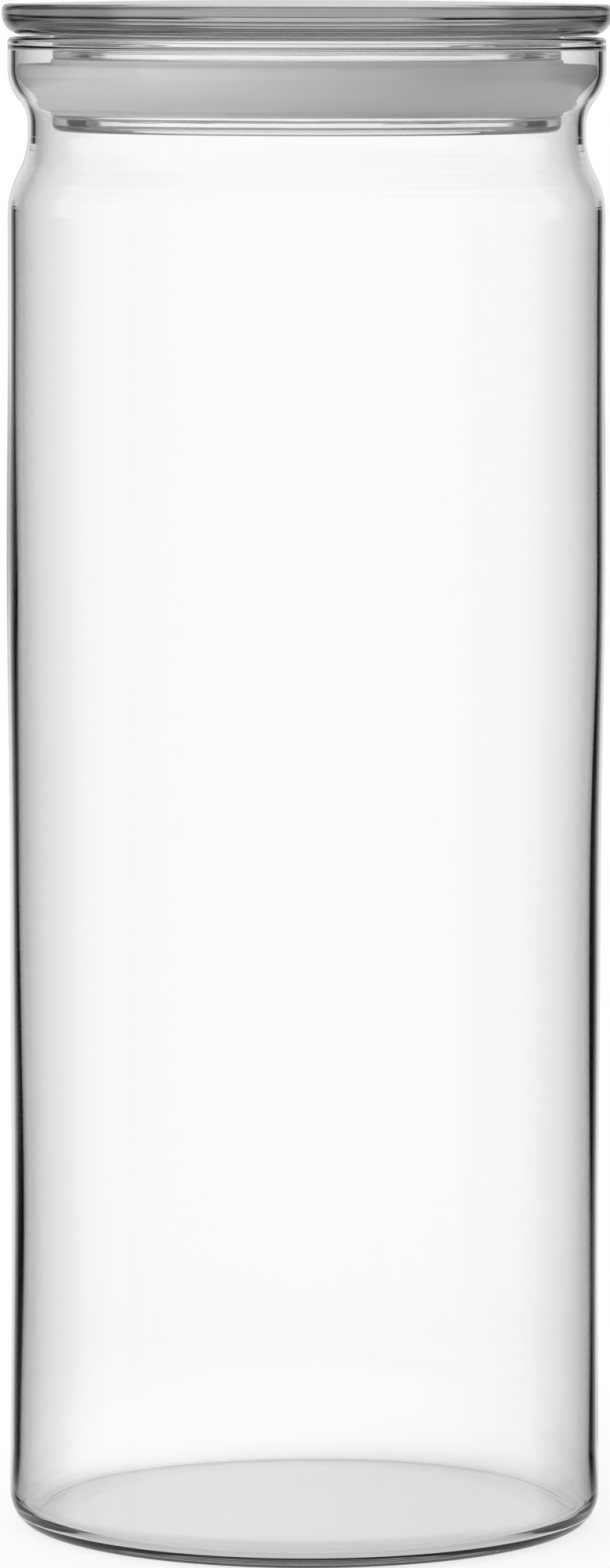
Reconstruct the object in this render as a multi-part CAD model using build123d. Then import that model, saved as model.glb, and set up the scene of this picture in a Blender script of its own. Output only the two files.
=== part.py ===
"""Tall glass storage canister with a glass lid and a silicone seal ring.

The frame is in millimetres. +Z is the axis of the canister, and the origin is
the centre of the foot, so the canister stands on the plane z = 0.
Every piece is one profile of radius and height, turned about the axis.
"""
import os
from math import atan, cos, hypot, radians, sin, tan

from build123d import *

# ------------------------------------------------------------ driving sizes
# Jar: blown glass, of one wall thickness from the foot to the lip
jar_height = 282.8          # foot to the top of the lip
body_diameter = 112.9       # outside, body and collar alike
waist_draw_in = 3.8         # the neck under the collar is drawn in by this much all round
wall = 1.35                 # glass thickness of the sides

# Collar, shoulders and waist, measured along the axis
collar_height = 6.0         # straight glass from the lip down
upper_shoulder_height = 10.4
waist_height = 2.1          # straight glass between the two shoulders
lower_shoulder_height = 15.0
upper_convex_share = 0.58   # part of the shoulder's curve that bulges outwards
lower_convex_share = 0.54

# Lip: fire-polished, a little thicker than the wall on its inner side
lip_bead = 0.20
lip_bead_height = 2.4

# Base
floor_thickness = 2.2
push_up = 0.3               # rise of the underside at its centre
foot_width = 9.0            # flat ring that the jar stands on
foot_corner_width = 4.2     # outside, the wall turns in to the foot on an ellipse
foot_corner_height = 6.2
floor_corner_radius = 4.0   # inside, between floor and wall

# Lid: pressed glass disc with a hollow skirt
lid_overhang = 1.05         # the disc stands out this far over the collar
lid_gap = 0.35              # air between the lip and the underside of the lid
rim_height = 5.85
crown = 0.75                # rise of the top from its edge to its centre
top_edge_radius = 1.05
bottom_edge_radius = 3.9    # the rim rolls in under the disc

skirt_clearance = 3.25      # between the skirt and the inside of the waist
skirt_wall = 6.2            # at the open end
skirt_draft = 2.2           # degrees, the hollow narrows upwards
skirt_root_radius = 6.0     # inside, between the hollow's wall and its ceiling
skirt_neck_radius = 1.2     # outside, between the skirt and the disc
skirt_end_radius = 2.0
groove_start = 4.5          # underside of the disc to the top of the groove
groove_height = 10.2
groove_depth = 1.75
bead_height = 3.4           # glass bead from the groove to the end of the skirt
groove_corner_radius = 0.4

# Seal ring: silicone, a sleeve in the groove with a flared lip around it
seal_fit = 0.10             # radial play between the flared lip and the jar's lip
groove_play = 0.08          # play of the sleeve in the groove, on every side
sleeve_wall = 2.0
sleeve_foot_height = 0.6    # straight end of the sleeve under the flare
flare_step = 1.8            # underside of the flare, from the sleeve outwards
flare_step_rise = 0.6
band_rise = 0.85            # top of the sealing band above the start of the collar
band_height = 2.1           # straight band that meets the jar
lip_thickness = 1.7         # of the flared lip, square to its face
band_edge_radius = 0.7
soft_edge_radius = 0.3
sleeve_corner_radius = 0.5  # rounds off the sleeve where the groove is rounded
channel_radius = 0.6        # bottom of the channel behind the flared lip

# ------------------------------------------------------------ derived sizes
body_radius = body_diameter / 2
waist_radius = body_radius - waist_draw_in
bore_radius = body_radius - wall
lip_radius = bore_radius - lip_bead
lip_round = (wall + lip_bead) / 2

collar_bottom = jar_height - collar_height
waist_top = collar_bottom - upper_shoulder_height
waist_bottom = waist_top - waist_height
body_top = waist_bottom - lower_shoulder_height
foot_outer = body_radius - foot_corner_width
foot_inner = foot_outer - foot_width
floor_edge = bore_radius - floor_corner_radius

lid_radius = body_radius + lid_overhang
lid_underside = jar_height + lid_gap
rim_top = lid_underside + rim_height
rim_round = min(bottom_edge_radius, 0.9 * (rim_height - top_edge_radius))
skirt_radius = waist_radius - wall - skirt_clearance
skirt_depth = groove_start + groove_height + bead_height
skirt_bottom = lid_underside - skirt_depth
hollow_radius = skirt_radius - skirt_wall
hollow_root_radius = hollow_radius - skirt_depth * tan(radians(skirt_draft))
groove_radius = skirt_radius - groove_depth
groove_top = lid_underside - groove_start
groove_bottom = groove_top - groove_height
bead_round = min(skirt_end_radius, 0.45 * skirt_wall, 0.8 * bead_height)

sleeve_inner = groove_radius + groove_play
sleeve_outer = sleeve_inner + sleeve_wall
seal_bottom = groove_bottom + groove_play
seal_top = groove_top - groove_play
seal_radius = lip_radius - seal_fit
sleeve_foot_top = seal_bottom + sleeve_foot_height
flare_inner = sleeve_outer + flare_step
flare_start = sleeve_foot_top + flare_step_rise
band_top = collar_bottom + band_rise
band_bottom = band_top - band_height


def shoulder(wide_radius, wide_height, narrow_radius, narrow_height, convex_share, inset=0):
    """Two tangent arcs of one S-shaped shoulder, from its wide end to its narrow end.

    Both ends are vertical. An inset gives the parallel curve inside the glass.
    """
    rise = narrow_height - wide_height
    reach = wide_radius - narrow_radius
    turn = 2 * atan(reach / abs(rise))
    radii = abs(rise) / sin(turn)
    convex, concave = convex_share * radii, (1 - convex_share) * radii
    way = 1 if rise > 0 else -1

    def on_convex(angle):
        return (wide_radius - convex + (convex - inset) * cos(angle),
                wide_height + way * (convex - inset) * sin(angle))

    def on_concave(angle):
        return (narrow_radius + concave - (concave + inset) * cos(angle),
                narrow_height - way * (concave + inset) * sin(angle))

    return [(on_convex(0), on_convex(turn / 2), on_convex(turn)),
            (on_concave(turn), on_concave(turn / 2), on_concave(0))]


def draw_arcs(arcs, upwards=True):
    """Adds a shoulder's arcs to the line, in order or from the narrow end back."""
    for start, middle, end in (arcs if upwards else reversed(arcs)):
        if upwards:
            ThreePointArc(start, middle, end)
        else:
            ThreePointArc(end, middle, start)


def revolved(label, profile):
    """Turns a closed profile of (radius, height) about the axis of the canister."""
    with BuildPart() as piece:
        with BuildSketch(Plane.XZ):
            with BuildLine():
                profile()
            make_face()
        revolve(axis=Axis.Z)
    piece.part.label = label
    return piece.part


# ------------------------------------------------------------ jar
def jar_profile():
    """Outline of the glass: under the foot, up the outside, over the lip and down inside."""
    # underside and outer wall
    TangentArc((0, push_up), (foot_inner, 0), tangent=(1, 0))
    Line((foot_inner, 0), (foot_outer, 0))
    EllipticalCenterArc((foot_outer, foot_corner_height), foot_corner_width,
                        foot_corner_height, start_angle=-90, arc_size=90)
    Line((body_radius, foot_corner_height), (body_radius, body_top))
    lower = (body_radius, body_top, waist_radius, waist_bottom, lower_convex_share)
    upper = (body_radius, collar_bottom, waist_radius, waist_top, upper_convex_share)
    draw_arcs(shoulder(*lower))
    Line((waist_radius, waist_bottom), (waist_radius, waist_top))
    draw_arcs(shoulder(*upper), upwards=False)
    lip_start = jar_height - lip_round
    Line((body_radius, collar_bottom), (body_radius, lip_start))

    # lip, with its bead inside
    ThreePointArc((body_radius, lip_start), (body_radius - lip_round, jar_height),
                  (lip_radius, lip_start))
    bead_end = lip_start - lip_bead_height
    draw_arcs(shoulder(bore_radius, bead_end, lip_radius, lip_start, 0.5), upwards=False)

    # inner wall, parallel to the outer one, and floor
    Line((bore_radius, bead_end), (bore_radius, collar_bottom))
    draw_arcs(shoulder(*upper, inset=wall))
    Line((waist_radius - wall, waist_top), (waist_radius - wall, waist_bottom))
    draw_arcs(shoulder(*lower, inset=wall), upwards=False)
    corner_top = floor_thickness + floor_corner_radius
    Line((bore_radius, body_top), (bore_radius, corner_top))
    CenterArc((floor_edge, corner_top), floor_corner_radius, start_angle=-90, arc_size=90)
    TangentArc((0, floor_thickness + push_up), (floor_edge, floor_thickness), tangent=(1, 0))
    Line((0, floor_thickness + push_up), (0, push_up))


# ------------------------------------------------------------ lid
def lid_profile():
    """Outline of the lid: hollow, skirt with its groove, underside, rim and crown."""
    corners = [
        ((hollow_root_radius, lid_underside), skirt_root_radius),
        ((hollow_radius, skirt_bottom), bead_round),
        ((skirt_radius, skirt_bottom), bead_round),
        ((skirt_radius, groove_bottom), groove_corner_radius),
        ((groove_radius, groove_bottom), groove_corner_radius),
        ((groove_radius, groove_top), groove_corner_radius),
        ((skirt_radius, groove_top), groove_corner_radius),
        ((skirt_radius, lid_underside), skirt_neck_radius),
        ((lid_radius, lid_underside), rim_round),
        ((lid_radius, rim_top), top_edge_radius),
    ]
    ceiling_centre = (0, lid_underside)
    edge_of_crown = lid_radius - 2 * top_edge_radius
    FilletPolyline(ceiling_centre, *[point for point, _ in corners], (edge_of_crown, rim_top),
                   radius=[radius for _, radius in corners])
    TangentArc((0, rim_top + crown), (edge_of_crown, rim_top), tangent=(1, 0))
    Line((0, rim_top + crown), ceiling_centre)


# ------------------------------------------------------------ seal ring
def seal_profile():
    """Section of the ring: sleeve, flared lip with its band, and the channel between them."""
    # the channel's outer face follows the cone and the band at the lip's thickness
    flare_height = band_bottom - flare_start
    slope = (seal_radius - flare_inner) / flare_height
    channel_outer = seal_radius - lip_thickness * hypot(slope, 1)
    channel_bottom = band_bottom - (channel_outer - sleeve_outer) / slope

    corners = [
        ((sleeve_inner, seal_bottom), sleeve_corner_radius),
        ((sleeve_outer, seal_bottom), 0),
        ((sleeve_outer, sleeve_foot_top), 0),
        ((flare_inner, flare_start), soft_edge_radius),
        ((seal_radius, band_bottom), band_edge_radius),
        ((seal_radius, band_top), band_edge_radius),
        ((channel_outer, band_top), soft_edge_radius),
        ((channel_outer, band_bottom), band_edge_radius),
        ((sleeve_outer, channel_bottom), channel_radius),
        ((sleeve_outer, seal_top), soft_edge_radius),
        ((sleeve_inner, seal_top), sleeve_corner_radius),
    ]
    FilletPolyline(*[point for point, _ in corners], close=True,
                   radius=[radius for _, radius in corners])


pieces = [
    revolved("jar_body", jar_profile),
    revolved("lid_glass", lid_profile),
    revolved("seal_ring", seal_profile),
]

os.makedirs("parts", exist_ok=True)
for piece in pieces:
    export_step(piece, f"parts/{piece.label}.step")
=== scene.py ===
"""Finished look of a tall glass canister with a glass lid and a silicone seal ring.

The file is laid out as a Blender add-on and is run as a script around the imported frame.
Lengths are in metres. +Z is the axis of the canister, and its foot stands on z = 0.
Every piece is an outline of (radius, height) points, spun about the axis.
"""
import math

import bmesh
import bpy
from mathutils import Matrix, Vector, noise


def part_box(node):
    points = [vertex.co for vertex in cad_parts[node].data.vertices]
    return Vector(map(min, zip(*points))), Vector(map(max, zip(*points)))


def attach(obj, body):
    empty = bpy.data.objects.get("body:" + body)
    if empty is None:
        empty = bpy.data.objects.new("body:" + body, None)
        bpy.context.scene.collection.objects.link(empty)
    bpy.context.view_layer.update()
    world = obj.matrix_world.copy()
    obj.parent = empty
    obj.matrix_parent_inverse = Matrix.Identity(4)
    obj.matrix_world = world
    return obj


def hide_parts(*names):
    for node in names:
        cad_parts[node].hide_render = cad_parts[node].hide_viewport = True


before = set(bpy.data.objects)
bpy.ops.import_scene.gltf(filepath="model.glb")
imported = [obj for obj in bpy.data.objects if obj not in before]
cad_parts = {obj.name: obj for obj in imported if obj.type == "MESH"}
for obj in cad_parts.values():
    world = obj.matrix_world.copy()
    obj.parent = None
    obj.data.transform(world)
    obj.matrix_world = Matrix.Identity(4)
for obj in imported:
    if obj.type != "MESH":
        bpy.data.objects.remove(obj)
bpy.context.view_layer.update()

bl_info = {
    "name": "Glass canister",
    "version": (1, 0, 0),
    "blender": (4, 5, 0),
    "location": "3D view > Sidebar > Canister",
    "description": "Makes the glass jar, the pressed lid, the seal ring and a plain studio",
    "category": "Add Mesh",
}

# ------------------------------------------------------------ sizes from the frame
MM = 0.001
JAR_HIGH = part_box("jar_body")[1]
LID_LOW, LID_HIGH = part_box("lid_glass")
SEAL_LOW, SEAL_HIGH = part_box("seal_ring")


def length(name, default, description):
    """A size in metres that a user may change."""
    return bpy.props.FloatProperty(name=name, default=default, description=description,
                                   unit="LENGTH", precision=5, min=0)


def share(name, default, description):
    """A number from 0 to 1 that a user may change."""
    return bpy.props.FloatProperty(name=name, default=default, description=description,
                                   subtype="FACTOR", min=0, max=1)


def colour(name, default, description):
    """A colour that a user may change."""
    return bpy.props.FloatVectorProperty(name=name, default=default, description=description,
                                         subtype="COLOR", size=3, min=0, max=1)


class JarSizes(bpy.types.PropertyGroup):
    """Sizes of the blown jar."""
    height: length("Height", JAR_HIGH.z, "Foot to the top of the lip")
    radius: length("Radius", JAR_HIGH.x, "Outside of the body and of the collar")
    draw_in: length("Draw-in", 3.8 * MM, "How far the waist lies inside the body")
    wall: length("Wall", 1.35 * MM, "Thickness of the sides")
    collar: length("Collar", 6.0 * MM, "Straight glass from the lip down")
    upper_shoulder: length("Upper shoulder", 10.4 * MM, "Collar to waist")
    waist: length("Waist", 2.1 * MM, "Straight glass between the shoulders")
    lower_shoulder: length("Lower shoulder", 15.0 * MM, "Waist to body")
    upper_convex: share("Upper convex share", 0.58, "Part of the upper shoulder that bulges out")
    lower_convex: share("Lower convex share", 0.54, "Part of the lower shoulder that bulges out")
    lip_bead: length("Lip bead", 0.5 * MM, "How much thicker the lip is, on its inner side")
    lip_bead_height: length("Lip bead height", 2.1 * MM, "Top of the lip to the foot of its bead")
    floor: length("Floor", 2.2 * MM, "Thickness of the floor")
    push_up: length("Push-up", 0.3 * MM, "Rise of the underside at its centre")
    foot_width: length("Foot width", 9.0 * MM, "Flat ring that the jar stands on")
    foot_corner_width: length("Foot corner width", 4.2 * MM, "Width of the rounding outside")
    foot_corner_height: length("Foot corner height", 6.2 * MM, "Height of the rounding outside")
    floor_corner: length("Floor corner", 4.0 * MM, "Width of the rounding inside")
    floor_corner_height: length("Floor corner height", 4.0 * MM, "Height of the rounding inside")
    hollowing: length("Hollowing", 0.166 * MM, "How far the middle of the body draws in")
    sway: length("Sway", 0.328 * MM, "Swell above the middle of the body, and draw-in below it")
    waves: length("Waves", 0.075 * MM, "Height of the shorter waves")
    settling: length("Settling", 0.48 * MM, "Extra thickness of the body's wall, on its inside")
    settled_from: share("Settled from", 0.04, "Part of the body's height where it is complete")
    settled_to: share("Settled to", 0.9, "Part of the body's height where it has gone")
    settled_fade: share("Settled fade", 0.22, "Part of the body's height over which it goes")
    lean: length("Lean", 0.24 * MM, "How much of that thickness moved to one side")
    lean_mean: share("Lean mean", 0.3, "Part of the lean that stays the same all the way up")
    lean_centre: share("Lean centre", 0.2, "Part of the body's height where it leans most")
    lean_length: share("Lean length", 0.52, "Part of the body's height between two such places")
    ripple: length("Ripple", 0.05 * MM, "Unevenness of the inner face")


class LidSizes(bpy.types.PropertyGroup):
    """Sizes of the pressed lid."""
    radius: length("Radius", LID_HIGH.x, "Outside of the disc")
    top: length("Top", LID_HIGH.z, "Highest point of the crown")
    skirt_end: length("Skirt end", LID_LOW.z, "Lowest point of the skirt")
    crown: length("Crown", 0.75 * MM, "Rise of the top from its edge to its centre")
    rim: length("Rim", 5.85 * MM, "Height of the disc's rim")
    top_edge: length("Top edge", 1.05 * MM, "Radius of the edge at the top of the rim")
    bottom_edge: length("Bottom edge", 3.9 * MM, "Radius of the edge at the bottom of the rim")
    skirt_gap: length("Skirt gap", 8.4 * MM, "From the body's outside in to the skirt's outside")
    skirt_wall: length("Skirt wall", 6.2 * MM, "Thickness of the skirt at its open end")
    hollow_draft: length("Hollow draft", 0.7 * MM, "How much the hollow narrows upwards")
    hollow_root: length("Hollow root", 3.4 * MM, "Radius between the hollow's wall and its ceiling")
    neck: length("Neck", 1.2 * MM, "Radius between the skirt and the disc")
    skirt_round: length("Skirt end radius", 1.5 * MM, "Radius at the open end of the skirt")
    groove_depth: length("Groove depth", 1.75 * MM, "How deep the seal sits in the skirt")
    groove_corner: length("Groove corner", 0.4 * MM, "Radius of the groove's corners")
    groove_play: length("Groove play", 0.08 * MM, "Room round the seal's sleeve")
    density: bpy.props.FloatProperty(name="Glass density", default=5.0, min=0,
                                     description="Light lost in the lid's glass, per metre")


class SealSizes(bpy.types.PropertyGroup):
    """Sizes of the seal ring."""
    radius: length("Radius", SEAL_HIGH.x, "Outside of the flared lip")
    bottom: length("Bottom", SEAL_LOW.z, "Lower end of the sleeve")
    top: length("Top", SEAL_HIGH.z, "Upper end of the sleeve")
    sleeve_wall: length("Sleeve wall", 2.0 * MM, "Thickness of the sleeve")
    sleeve_foot: length("Sleeve foot", 0.6 * MM, "Straight end of the sleeve under the flare")
    flare_step: length("Flare step", 1.8 * MM, "Underside of the flare, from the sleeve outwards")
    flare_step_rise: length("Flare step rise", 0.6 * MM, "Rise of that underside")
    band_top: length("Band top", 277.65 * MM, "Top of the straight band that meets the jar")
    band_height: length("Band height", 2.1 * MM, "Height of that band")
    lip: length("Lip", 1.7 * MM, "Thickness of the flared lip")
    band_edge: length("Band edge", 0.7 * MM, "Radius of the band's edges")
    soft_edge: length("Soft edge", 0.3 * MM, "Radius of the smaller edges")
    foot_edge: length("Foot edge", 0.15 * MM, "Radius of the edges of the sleeve's foot")
    sleeve_corner: length("Sleeve corner", 0.5 * MM, "Radius at the sleeve's inner corners")
    channel: length("Channel", 0.6 * MM, "Radius at the bottom of the channel behind the lip")
    dark_tone: colour("Dark tone", (0.85, 0.85, 0.845), "Darker clouds in the silicone")
    light_tone: colour("Light tone", (0.93, 0.93, 0.925), "Lighter clouds in the silicone")


class Studio(bpy.types.PropertyGroup):
    """Places of the camera, the light and the floor."""
    distance: length("Distance", 1.5968, "Camera to the axis of the canister")
    camera_height: length("Camera height", 0.29667, "Camera above the floor")
    pitch: bpy.props.FloatProperty(name="Pitch", default=math.radians(5.561), subtype="ANGLE",
                                   description="How far the camera looks down")
    roll: bpy.props.FloatProperty(name="Roll", default=math.radians(0.1), subtype="ANGLE",
                                  description="How far the camera leans to its left")
    aside: length("Aside", 0.12 * MM, "How far the camera stands left of the axis")
    lens: bpy.props.FloatProperty(name="Lens", default=193.6, min=1,
                                  description="Focal length on a 36 mm sensor")
    swing: bpy.props.FloatProperty(name="Swing", default=math.radians(0.75), subtype="ANGLE",
                                   description="How far the lights are turned to the left")
    floor_radius: length("Floor radius", 0.5, "The floor fades out at this radius")


class Greys(bpy.types.PropertyGroup):
    """Brightness of the light and of what the glass shows of it, from black to white."""
    ambient: share("Ambient", 0.85, "Soft light all round, on all that isn't glass")
    one_sided: share("One-sided", 0.95, "How much the light from the front comes from the left")
    jar_panel: share("Jar panels", 0.85, "Panels of light in the walls of the jar")
    side_panel: share("Side panels", 0.62, "Panels beside the jar, in its walls")
    front: share("Front", 0.8, "Light from the front, in the walls of the jar")
    outline: share("Outline", 0.004, "Gaps between the panels where they draw the jar's outline")
    far_gap: share("Far gaps", 0.4, "Gaps in the far wall of the jar")
    high_gap: share("High gaps", 0.1, "Gaps above level, in the walls of the jar")
    high_lid_gap: share("High lid gaps", 0.02, "Gaps above level, in the lid inside the jar")
    base: share("Base", 0.55, "Floor in the rounding above the foot")
    lid_panel: share("Lid panels", 0.62, "Panels in the thick glass of the lid")
    lid_gap: share("Lid gaps", 0.42, "Gaps in the thick glass of the lid")
    inner_lid_gap: share("Inner lid gaps", 0.12, "Gaps in the lid inside the jar")
    behind_lid: share("Behind the lid", 0.1, "Gaps straight behind the lid and the jar")
    trapped: share("Trapped", 0.2, "Light that thick glass turns back again and again")
    skin_gap: share("Skin gaps", 0.01, "Gaps on the outside of the glass")
    skin_side: share("Skin sides", 0.2, "Panels at the sides, on the outside of the glass")
    skin_ahead: share("Skin ahead", 0.7, "Panels in front and behind, on the outside of the glass")
    skin_low: share("Skin low", 0.6, "Light from below, on the outside of the glass")


# ------------------------------------------------------------ outlines and spinning
ARC_STEP = math.radians(6)      # longest piece of an arc
SEGMENTS = 192                  # round the axis
MERGE = 0.001 * MM              # points closer than this become one
SEAM = 0.1 * MM                 # closing edge of an outline that is a loop


def rounded(*corners):
    """Outline through (radius, height, rounding) corners, each rounded by an arc."""
    outline = []
    for index, (x, y, rounding) in enumerate(corners):
        corner = Vector((x, y))
        if not rounding or index in (0, len(corners) - 1):
            outline.append(corner)
            continue
        before = (Vector(corners[index - 1][:2]) - corner).normalized()
        after = (Vector(corners[index + 1][:2]) - corner).normalized()
        half = before.angle(after) / 2
        centre = corner + (before + after).normalized() * (rounding / math.sin(half))
        start = corner + before * (rounding / math.tan(half)) - centre
        turn = math.atan2(after.cross(before), -after.dot(before))
        steps = max(2, math.ceil(abs(turn) / ARC_STEP))
        for step in range(steps + 1):
            outline.append(centre + Matrix.Rotation(turn * step / steps, 2) @ start)
    return outline


def dome(height, rise, radius, steps=16):
    """Shallow dome from the axis out to a radius, as (radius, height) points."""
    return [Vector((radius * step / steps, height + rise * (1 - (step / steps) ** 2)))
            for step in range(steps)]


def elliptic_corner(centre, width, height, steps=15):
    """Quarter of an ellipse, from below its centre round to its outer side."""
    quarter = [math.radians(90) * step / steps for step in range(steps + 1)]
    return [centre + Vector((width * math.sin(angle), -height * math.cos(angle)))
            for angle in quarter]


def supported(outline, hold=0.25 * MM, pitch=4 * MM):
    """Adds points to the long straight stretches, so that their shading stays straight.

    The outermost ones lie a hold from the corners, and the rest at most a pitch apart.
    """
    result = [outline[0]]
    for start, end in zip(outline, outline[1:]):
        along = end - start
        if along.length > 4 * hold:
            inner = along.length - 2 * hold
            steps = max(1, math.ceil(inner / pitch))
            places = [hold + inner * step / steps for step in range(steps + 1)]
            result += [start + along.normalized() * place for place in places]
        result.append(end)
    return result


def spun(name, outline, closed=False):
    """Spins an outline about the axis into one closed, smooth mesh object."""
    shape = bmesh.new()
    verts = [shape.verts.new((point.x, 0, point.y)) for point in outline]
    pairs = list(zip(verts, verts[1:]))
    if closed:
        pairs.append((verts[-1], verts[0]))
    edges = [shape.edges.new(pair) for pair in pairs]
    bmesh.ops.spin(shape, geom=verts + edges, cent=(0, 0, 0), axis=(0, 0, 1), dvec=(0, 0, 0),
                   angle=math.radians(360), steps=SEGMENTS, use_merge=True)
    bmesh.ops.remove_doubles(shape, verts=shape.verts, dist=MERGE)
    bmesh.ops.recalc_face_normals(shape, faces=shape.faces)
    # A spin leaves its faces in no fixed order, so they are sorted by their points.
    shape.verts.index_update()
    shape.faces.sort(key=lambda face: sum(vert.index ** 2 for vert in face.verts))
    mesh = bpy.data.meshes.new(name)
    shape.to_mesh(mesh)
    shape.free()
    mesh.shade_smooth()
    piece = bpy.data.objects.new(name, mesh)
    bpy.context.scene.collection.objects.link(piece)
    return piece


def shoulder_corners(wide, wide_height, narrow, narrow_height, convex_share, inset=0.0):
    """Two corners whose roundings meet, which makes one S-shaped shoulder.

    An inset gives the parallel shoulder inside it, at that thickness of glass.
    """
    rise, reach = abs(narrow_height - wide_height), wide - narrow
    half_turn = math.atan(reach / rise)
    radii = rise / math.sin(2 * half_turn)
    convex, concave = convex_share * radii, (1 - convex_share) * radii
    way = 1 if narrow_height > wide_height else -1
    lift = math.tan(half_turn)
    return [
        (wide - inset, wide_height + way * (convex - inset) * lift, convex - inset),
        (narrow - inset, narrow_height - way * (concave + inset) * lift, concave + inset),
    ]


# ------------------------------------------------------------ jar
def waist_bottom(jar):
    """Height where the straight waist ends, over the lower shoulder."""
    return jar.height - jar.collar - jar.upper_shoulder - jar.waist


def body_top(jar):
    """Height where the straight body ends, under the lower shoulder."""
    return waist_bottom(jar) - jar.lower_shoulder


def jar_outline(jar):
    """Underside, outer wall, lip, inner wall and floor of the jar."""
    foot_outer = jar.radius - jar.foot_corner_width
    foot_inner = foot_outer - jar.foot_width
    bore = jar.radius - jar.wall
    mouth = bore - jar.lip_bead
    lip_round = (jar.wall + jar.lip_bead) / 2
    collar_bottom = jar.height - jar.collar
    waist_top = collar_bottom - jar.upper_shoulder
    waist = jar.radius - jar.draw_in

    def shoulders(inset=0.0):
        lower = shoulder_corners(jar.radius, body_top(jar), waist, waist_bottom(jar),
                                 jar.lower_convex, inset)
        upper = shoulder_corners(jar.radius, collar_bottom, waist, waist_top,
                                 jar.upper_convex, inset)
        return lower + upper[::-1]

    underside = dome(0, jar.push_up, foot_inner) + [Vector((foot_inner, 0))]
    corner = elliptic_corner(Vector((foot_outer, jar.foot_corner_height)),
                             jar.foot_corner_width, jar.foot_corner_height)
    walls = rounded(
        (jar.radius, jar.foot_corner_height, 0),
        *shoulders(),
        (jar.radius, jar.height, lip_round),
        (mouth, jar.height, lip_round),
        (mouth, jar.height - jar.lip_bead_height + jar.lip_bead, jar.lip_bead),
        (bore, jar.height - jar.lip_bead_height, jar.lip_bead),
        *reversed(shoulders(jar.wall)),
        (bore, jar.floor + jar.floor_corner_height, 0),
    )
    floor_edge = bore - jar.floor_corner
    inner_corner = elliptic_corner(Vector((floor_edge, jar.floor + jar.floor_corner_height)),
                                   jar.floor_corner, jar.floor_corner_height)
    floor = dome(jar.floor, jar.push_up, floor_edge) + inner_corner[:-1]
    return supported(underside + corner[:-1] + walls + floor[::-1])


RIPPLES = 2                     # patches of the inner face's unevenness, for each radius


def ease(value):
    """0 to 1 with a soft start and end."""
    value = min(max(value, 0.0), 1.0)
    return value * value * (3 - 2 * value)


def wander(jar, height):
    """How far the whole wall moves outwards, at a part of the body's height."""
    turn = math.pi * height
    slow = -jar.hollowing * math.sin(turn) - jar.sway * math.sin(2 * turn)
    return slow - jar.waves * (math.sin(5 * turn) - math.sin(6 * turn))


def thicken(jar, height, across, along):
    """How far the inner face moves inwards. Across and along give the side, from -1 to 1."""
    start = ease(height / jar.settled_from)
    settled = start * ease((jar.settled_to - height) / jar.settled_fade)
    beat = math.cos(2 * math.pi * (height - jar.lean_centre) / jar.lean_length)
    lean = jar.lean * (jar.lean_mean + (1 - jar.lean_mean) * beat)
    ripple = jar.ripple * noise.noise(Vector((across, along, 2 * height)) * RIPPLES)
    return settled * (jar.settling - lean * across - ripple)


def blow(piece, jar):
    """Lets the walls wander a little, as blown glass does, and leaves foot and lip true."""
    top = body_top(jar)
    for vert in piece.data.vertices:
        x, y, z = vert.co
        radius = math.hypot(x, y)
        height = z / top
        if radius < jar.radius / 2 or height > 1 or z < jar.floor:
            continue
        across, along = x / radius, y / radius
        shift = wander(jar, height)
        if radius < jar.radius - jar.wall / 2:
            shift -= thicken(jar, height, across, along)
        vert.co.x += across * shift
        vert.co.y += along * shift


# ------------------------------------------------------------ lid
def lid_outline(lid, seal, jar):
    """Ceiling of the hollow, skirt with its groove, underside, rim and crown."""
    rim_top = lid.top - lid.crown
    underside = rim_top - lid.rim
    skirt = jar.radius - lid.skirt_gap
    hollow = skirt - lid.skirt_wall
    groove = skirt - lid.groove_depth
    groove_top = seal.top + lid.groove_play
    groove_bottom = seal.bottom - lid.groove_play
    sides = rounded(
        (0, underside, 0),
        (hollow - lid.hollow_draft, underside, lid.hollow_root),
        (hollow, lid.skirt_end, lid.skirt_round),
        (skirt, lid.skirt_end, lid.skirt_round),
        (skirt, groove_bottom, lid.groove_corner),
        (groove, groove_bottom, lid.groove_corner),
        (groove, groove_top, lid.groove_corner),
        (skirt, groove_top, lid.groove_corner),
        (skirt, underside, lid.neck),
        (lid.radius, underside, lid.bottom_edge),
        (lid.radius, rim_top, lid.top_edge),
        (lid.radius - 2 * lid.top_edge, rim_top, 0),
    )
    crown = dome(rim_top, lid.crown, lid.radius - 2 * lid.top_edge)
    return supported(sides + crown[::-1])


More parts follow.
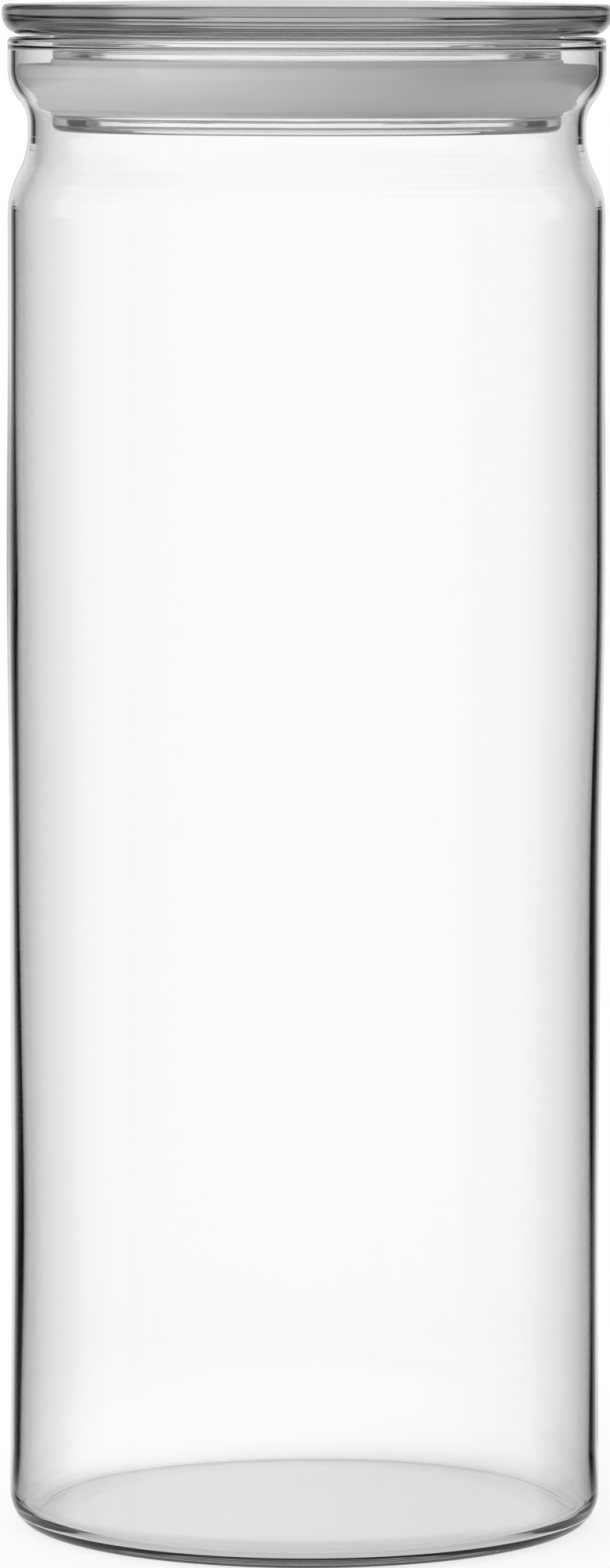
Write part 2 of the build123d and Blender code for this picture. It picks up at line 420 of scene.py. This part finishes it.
# ------------------------------------------------------------ seal ring
def seal_outline(seal, lid, jar):
    """Section of the ring: sleeve, flared lip with its band, and the channel between them."""
    sleeve_inner = jar.radius - lid.skirt_gap - lid.groove_depth + lid.groove_play
    sleeve_outer = sleeve_inner + seal.sleeve_wall
    foot_top = seal.bottom + seal.sleeve_foot
    band_bottom = seal.band_top - seal.band_height
    flare = sleeve_outer + seal.flare_step
    flare_start = foot_top + seal.flare_step_rise
    slope = (seal.radius - flare) / (band_bottom - flare_start)
    channel_outer = seal.radius - seal.lip * math.hypot(slope, 1)
    channel_bottom = band_bottom - (channel_outer - sleeve_outer) / slope
    middle = (seal.bottom + seal.top) / 2
    return supported(rounded(
        (sleeve_inner, middle, 0),
        (sleeve_inner, seal.bottom, seal.sleeve_corner),
        (sleeve_outer, seal.bottom, seal.foot_edge),
        (sleeve_outer, foot_top, seal.foot_edge),
        (flare, flare_start, seal.soft_edge),
        (seal.radius, band_bottom, seal.band_edge),
        (seal.radius, seal.band_top, seal.band_edge),
        (channel_outer, seal.band_top, seal.soft_edge),
        (channel_outer, band_bottom, seal.band_edge),
        (sleeve_outer, channel_bottom, seal.channel),
        (sleeve_outer, seal.top, seal.soft_edge),
        (sleeve_inner, seal.top, seal.sleeve_corner),
        (sleeve_inner, middle + SEAM, 0),
    ))


# ------------------------------------------------------------ materials
class Nodes:
    """Short way to add and join the nodes of one tree."""

    def __init__(self, tree):
        self.tree = tree
        tree.nodes.clear()

    def add(self, kind, inputs=None, **settings):
        """New node, with values or sockets for its inputs."""
        node = self.tree.nodes.new(kind)
        for name, value in settings.items():
            setattr(node, name, value)
        for name, value in (inputs or {}).items():
            self.feed(node.inputs[name], value)
        return node

    def feed(self, socket, value):
        """Gives an input its value, or joins it to another node's socket."""
        if isinstance(value, bpy.types.NodeSocket):
            self.tree.links.new(value, socket)
        else:
            socket.default_value = value

    def math(self, operation, *values, clamp=False):
        """Result of one sum."""
        node = self.add("ShaderNodeMath", operation=operation, use_clamp=clamp)
        for socket, value in zip(node.inputs, values):
            self.feed(socket, value)
        return node.outputs[0]

    def mix(self, factor, off, on):
        """Number that goes from off to on with the factor."""
        node = self.add("ShaderNodeMix", data_type="FLOAT")
        for name, value in zip(("Factor", "A", "B"), (factor, off, on)):
            self.feed(next(s for s in node.inputs if s.name == name and s.enabled), value)
        return next(s for s in node.outputs if s.enabled)

    def times(self, first, second):
        """Product of two numbers."""
        return self.math("MULTIPLY", first, second)

    def over(self, value, limit):
        """1 where the value is over the limit, and 0 elsewhere."""
        return self.math("GREATER_THAN", value, limit)

    def ramp(self, value, start, end, interpolation="LINEAR"):
        """0 at the start, 1 at the end, and level beyond them."""
        places = {"Value": value, "From Min": start, "From Max": end}
        node = self.add("ShaderNodeMapRange", places, interpolation_type=interpolation)
        return node.outputs[0]


def material(name):
    """New material and its nodes."""
    made = bpy.data.materials.new(name)
    made.use_nodes = True
    return made, Nodes(made.node_tree)


def glass(name, ior, ripple_scale, ripple_height):
    """Clear glass whose surface has the faint ripples of its making, so many to a metre."""
    made, nodes = material(name)
    place = nodes.add("ShaderNodeTexCoord").outputs["Object"]
    stretched = nodes.add("ShaderNodeMapping", {"Vector": place, "Scale": ripple_scale})
    ripples = nodes.add("ShaderNodeTexNoise", {
        "Vector": stretched.outputs[0], "Scale": 1.0, "Detail": 2.0})
    bump = nodes.add("ShaderNodeBump", {
        "Height": ripples.outputs["Fac"], "Strength": 1.0, "Distance": ripple_height})
    shader = nodes.add("ShaderNodeBsdfPrincipled", {
        "Base Color": (1, 1, 1, 1), "Roughness": 0.0, "IOR": ior,
        "Transmission Weight": 1.0, "Normal": bump.outputs[0]})
    output = nodes.add("ShaderNodeOutputMaterial", {"Surface": shader.outputs[0]})
    return made, nodes, output


def jar_glass():
    """Thin clear glass of the jar."""
    return glass("clear_blown_glass", ior=1.48, ripple_scale=(18, 18, 6),
                 ripple_height=0.02 * MM)[0]


def lid_glass(density):
    """Thick pressed glass, which greys where it is seen edge-on."""
    made, nodes, output = glass("clear_pressed_glass", ior=1.5, ripple_scale=(25, 25, 900),
                                ripple_height=0.01 * MM)
    body = nodes.add("ShaderNodeVolumeAbsorption", {"Color": (0, 0, 0, 1), "Density": density})
    nodes.feed(output.inputs["Volume"], body.outputs[0])
    return made


def silicone(seal):
    """Milky silicone with faint clouds in it and a satin skin."""
    made, nodes = material("milky_silicone")
    place = nodes.add("ShaderNodeTexCoord").outputs["Object"]
    cloud = nodes.add("ShaderNodeTexNoise", {"Vector": place, "Scale": 30.0, "Detail": 3.0})
    tone = nodes.add("ShaderNodeValToRGB", {"Fac": cloud.outputs["Fac"]})
    tone.color_ramp.elements[0].color = (*seal.dark_tone, 1)
    tone.color_ramp.elements[1].color = (*seal.light_tone, 1)
    grain = nodes.add("ShaderNodeTexNoise", {"Vector": place, "Scale": 4000.0, "Detail": 1.0})
    bump = nodes.add("ShaderNodeBump", {
        "Height": grain.outputs["Fac"], "Strength": 0.3, "Distance": 0.02 * MM})
    shader = nodes.add("ShaderNodeBsdfPrincipled", {
        "Base Color": tone.outputs["Color"], "Roughness": 0.55, "IOR": 1.41,
        "Subsurface Weight": 0.6, "Subsurface Radius": (4 * MM, 4 * MM, 4 * MM),
        "Subsurface Scale": 1.0, "Normal": bump.outputs[0]})
    nodes.add("ShaderNodeOutputMaterial", {"Surface": shader.outputs[0]})
    return made


# ------------------------------------------------------------ studio
WHITE = 1.0
PANELS = 4                      # in front, behind and at both sides
SENSOR = 36.0                   # width of the camera's sensor, in its own millimetres
FLOOR_DROP = 0.3 * MM           # the floor lies this far under the foot, so they never touch


class StudioLight:
    """What a ray sees of the studio, by where it goes and by what it met on its way.

    Its direction is x to the right, y to the back and z upwards, each from -1 to 1.
    The light is panels that stand round the canister, and the gaps between them draw it.
    """

    def __init__(self, nodes, studio, greys):
        self.nodes, self.greys = nodes, greys
        way = nodes.add("ShaderNodeTexCoord").outputs["Generated"]
        x, y, z = nodes.add("ShaderNodeSeparateXYZ", {"Vector": way}).outputs
        self.angle = nodes.math("SUBTRACT", nodes.math("ARCTAN2", y, x), studio.swing)

        # Where the ray goes, from 0 to 1
        self.ahead = nodes.math("ABSOLUTE", nodes.math("SINE", self.angle))
        self.in_front = nodes.ramp(y, 0.0, -0.4)
        self.beside = nodes.times(nodes.ramp(y, -0.3, 0.3), nodes.ramp(y, 0.8, 0.4))
        self.under_ceiling = nodes.ramp(z, 0.65, 0.5)
        self.steep = nodes.ramp(nodes.math("ABSOLUTE", z), 0.2, 0.3)
        self.rising = nodes.ramp(z, 0.0, 0.03)
        self.falling = nodes.ramp(z, -0.2, -0.3)
        self.sinking = nodes.ramp(z, -0.35, -0.5)

        # What it met. A wall of glass has two faces, so each wall that it passed counts two.
        self.path = nodes.add("ShaderNodeLightPath").outputs
        passed, turned = self.path["Transmission Depth"], self.path["Glossy Depth"]
        self.past_a_wall = nodes.over(passed, 2.5)
        self.past_the_jar = nodes.over(passed, 4.5)
        self.turned_back = nodes.over(turned, 0.5)
        self.trapped = nodes.times(nodes.over(turned, 2.5), self.steep)
        self.scattered = nodes.over(self.path["Diffuse Depth"], 0.5)

        # Light from the front, which is stronger from the left
        from_left = nodes.times(self.in_front, nodes.times(x, greys.one_sided))
        self.key = nodes.math("SUBTRACT", 1.0, from_left)
        self.ambient = nodes.times(self.key, greys.ambient)

    def panels(self, half_width, softness, gap, panel=WHITE):
        """Panels of a half-width in degrees, with gaps between them and a dark ceiling."""
        nodes = self.nodes
        wave = nodes.math("COSINE", nodes.times(self.angle, PANELS))
        edge = math.cos(PANELS * math.radians(half_width))
        rise = nodes.math("DIVIDE", nodes.math("SUBTRACT", wave, edge), softness)
        lit = nodes.math("ADD", rise, 0.5, clamp=True)
        return nodes.mix(nodes.times(lit, self.under_ceiling), gap, panel)

    def in_thick_glass(self):
        """Broad grey panels, as the solid glass of the lid shows them."""
        greys = self.greys
        gap = self.nodes.mix(self.past_the_jar, greys.lid_gap, greys.inner_lid_gap)
        return self.panels(half_width=28, softness=0.3, gap=gap, panel=greys.lid_panel)

    def straight_through(self, thick):
        """White through the jar, and grey through the lid."""
        jar = self.nodes.mix(self.past_a_wall, thick, WHITE)
        both = self.panels(half_width=20, softness=0.3, gap=self.greys.behind_lid)
        return self.nodes.mix(self.past_the_jar, jar, both)

    def in_the_wall(self, thick):
        """Near black gaps, which draw the jar's outline, and greys in the rest of the jar."""
        nodes, greys = self.nodes, self.greys
        low = self.panels(half_width=14.5, softness=0.36,
                          gap=nodes.mix(self.past_a_wall, greys.outline, greys.far_gap),
                          panel=nodes.mix(self.beside, greys.jar_panel, greys.side_panel))
        high = self.panels(half_width=28, softness=0.3,
                           gap=nodes.mix(self.past_the_jar, greys.high_gap, greys.high_lid_gap),
                           panel=greys.jar_panel)
        shown = nodes.mix(self.steep, nodes.mix(self.rising, low, high), thick)
        shown = nodes.mix(self.in_front, shown, greys.front)
        shown = nodes.mix(self.sinking, shown, greys.base)
        return nodes.mix(self.trapped, shown, greys.trapped)

    def on_the_skin(self):
        """Soft panels that shine on the outside of the glass."""
        nodes, greys = self.nodes, self.greys
        soft = self.panels(half_width=21, softness=0.8, gap=greys.skin_gap)
        shine = nodes.times(nodes.mix(self.in_front, soft, WHITE),
                            nodes.mix(self.ahead, greys.skin_side, greys.skin_ahead))
        return nodes.mix(self.falling, shine, greys.skin_low)

    def strength(self):
        """White for the camera, panels for the glass, and soft light for all the rest."""
        nodes = self.nodes
        thick = self.in_thick_glass()
        reflected = nodes.mix(self.path["Is Transmission Ray"], self.on_the_skin(),
                              self.in_the_wall(thick))
        glass_light = nodes.mix(self.turned_back, self.straight_through(thick),
                                nodes.times(reflected, self.key))
        glass_light = nodes.mix(self.scattered, glass_light, self.ambient)
        light = nodes.mix(self.path["Is Glossy Ray"], self.ambient, glass_light)
        return nodes.mix(self.path["Is Camera Ray"], light, WHITE)


def world_light(studio, greys):
    """White behind the canister, soft light all round, and panels for the glass to show."""
    world = bpy.data.worlds.new("studio_light")
    world.use_nodes = True
    bpy.context.scene.world = world
    nodes = Nodes(world.node_tree)
    strength = StudioLight(nodes, studio, greys).strength()
    background = nodes.add("ShaderNodeBackground", {"Color": (1, 1, 1, 1), "Strength": strength})
    nodes.add("ShaderNodeOutputWorld", {"Surface": background.outputs[0]})


def floor_finish(studio):
    """Pale floor that fades into the white around it, keeps the canister's shadow, and has a
    painted pool of light round the canister.
    """
    made, nodes = material("pale_floor")
    place = nodes.add("ShaderNodeTexCoord").outputs["Object"]
    radius = nodes.add("ShaderNodeVectorMath", {0: place}, operation="LENGTH").outputs["Value"]
    edge = studio.floor_radius
    faded = nodes.ramp(radius, 0.3 * edge, 0.98 * edge, "SMOOTHSTEP")
    outside_glow_pool = nodes.ramp(radius, 0.15 * edge, 0.5 * edge, "SMOOTHSTEP")
    path = nodes.add("ShaderNodeLightPath").outputs
    seen = path["Is Camera Ray"]
    # To the camera most of the floor's white is its glow, which keeps the shadow faint.
    pale = nodes.add("ShaderNodeBsdfDiffuse", {"Color": nodes.mix(seen, 0.9, 0.35)})
    # Painted light: to the glass and to bounced light the floor glows brighter near the canister
    # than farther out.
    floor_glow = nodes.mix(seen, nodes.mix(outside_glow_pool, 0.32, 0.235), 0.72)
    lift = nodes.add("ShaderNodeEmission", {"Color": (1, 1, 1, 1), "Strength": floor_glow})
    lit = nodes.add("ShaderNodeAddShader")
    nodes.feed(lit.inputs[0], pale.outputs[0])
    nodes.feed(lit.inputs[1], lift.outputs[0])
    # It fades out towards its edge, and isn't there in reflections or from below.
    clear = nodes.add("ShaderNodeBsdfTransparent")
    mirrored = nodes.over(path["Glossy Depth"], 0.5)
    below = nodes.add("ShaderNodeNewGeometry").outputs["Backfacing"]
    gone = nodes.math("MAXIMUM", faded, nodes.math("MAXIMUM", mirrored, below))
    mixed = nodes.add("ShaderNodeMixShader", {"Fac": gone})
    nodes.feed(mixed.inputs[1], lit.outputs[0])
    nodes.feed(mixed.inputs[2], clear.outputs[0])
    nodes.add("ShaderNodeOutputMaterial", {"Surface": mixed.outputs[0]})
    return made


def floor(studio):
    """Round floor that the canister stands over."""
    shape = bmesh.new()
    bmesh.ops.create_circle(shape, cap_ends=True, segments=128, radius=studio.floor_radius)
    mesh = bpy.data.meshes.new("studio_floor")
    shape.to_mesh(mesh)
    shape.free()
    mesh.transform(Matrix.Translation((0, 0, -FLOOR_DROP)))
    piece = bpy.data.objects.new("studio_floor", mesh)
    bpy.context.scene.collection.objects.link(piece)
    mesh.materials.append(floor_finish(studio))


def camera(studio):
    """Camera in front of the canister, a little above its lid and looking down."""
    data = bpy.data.cameras.new("studio_camera")
    data.sensor_width = SENSOR
    data.lens = studio.lens
    piece = bpy.data.objects.new("studio_camera", data)
    piece.location = (-studio.aside, -studio.distance, studio.camera_height)
    look = Matrix.Rotation(math.radians(90) - studio.pitch, 3, "X")
    tilt = Matrix.Rotation(studio.roll, 3, "Z")
    piece.rotation_euler = (look @ tilt).to_euler()
    bpy.context.scene.collection.objects.link(piece)
    bpy.context.scene.camera = piece


# ------------------------------------------------------------ operators
def finish_piece(piece, finish, body, node):
    """Gives a piece its material and its body, and hides the solid it stands for."""
    piece.data.materials.append(finish)
    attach(piece, body)
    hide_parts(node)


class CANISTER_OT_jar(bpy.types.Operator):
    """Spin and blow the glass jar"""
    bl_idname = "canister.jar"
    bl_label = "Jar"

    def execute(self, context):
        jar = context.scene.canister_jar
        piece = spun("jar", jar_outline(jar))
        blow(piece, jar)
        finish_piece(piece, jar_glass(), "jar", "jar_body")
        return {"FINISHED"}


class CANISTER_OT_lid(bpy.types.Operator):
    """Spin the pressed glass lid"""
    bl_idname = "canister.lid"
    bl_label = "Lid"

    def execute(self, context):
        scene = context.scene
        lid = scene.canister_lid
        piece = spun("lid", lid_outline(lid, scene.canister_seal, scene.canister_jar))
        finish_piece(piece, lid_glass(lid.density), "lid", "lid_glass")
        return {"FINISHED"}


class CANISTER_OT_seal(bpy.types.Operator):
    """Spin the silicone seal ring"""
    bl_idname = "canister.seal"
    bl_label = "Seal ring"

    def execute(self, context):
        scene = context.scene
        outline = seal_outline(scene.canister_seal, scene.canister_lid, scene.canister_jar)
        piece = spun("seal", outline, closed=True)
        finish_piece(piece, silicone(scene.canister_seal), "seal", "seal_ring")
        return {"FINISHED"}


class CANISTER_OT_studio(bpy.types.Operator):
    """Set up the light, the floor and the camera"""
    bl_idname = "canister.studio"
    bl_label = "Studio"

    def execute(self, context):
        scene = context.scene
        scene.view_settings.view_transform = "Standard"
        scene.cycles.max_bounces = 24
        scene.cycles.transmission_bounces = 24
        scene.cycles.glossy_bounces = 12
        world_light(scene.canister_studio, scene.canister_greys)
        floor(scene.canister_studio)
        camera(scene.canister_studio)
        return {"FINISHED"}


STEPS = (CANISTER_OT_jar, CANISTER_OT_lid, CANISTER_OT_seal, CANISTER_OT_studio)


class CANISTER_PT_tools(bpy.types.Panel):
    """Buttons for the canister's pieces"""
    bl_label = "Canister"
    bl_space_type = "VIEW_3D"
    bl_region_type = "UI"
    bl_category = "Canister"

    def draw(self, context):
        for step in STEPS:
            self.layout.operator(step.bl_idname)


GROUPS = {"canister_jar": JarSizes, "canister_lid": LidSizes, "canister_seal": SealSizes,
          "canister_studio": Studio, "canister_greys": Greys}


def register():
    for name, group in GROUPS.items():
        bpy.utils.register_class(group)
        setattr(bpy.types.Scene, name, bpy.props.PointerProperty(type=group))
    for kind in (*STEPS, CANISTER_PT_tools):
        bpy.utils.register_class(kind)


def unregister():
    for kind in (CANISTER_PT_tools, *reversed(STEPS)):
        bpy.utils.unregister_class(kind)
    for name, group in reversed(GROUPS.items()):
        delattr(bpy.types.Scene, name)
        bpy.utils.unregister_class(group)


def main():
    """Makes everything."""
    register()
    bpy.ops.canister.jar()
    bpy.ops.canister.lid()
    bpy.ops.canister.seal()
    bpy.ops.canister.studio()


if __name__ == "__main__":
    main()
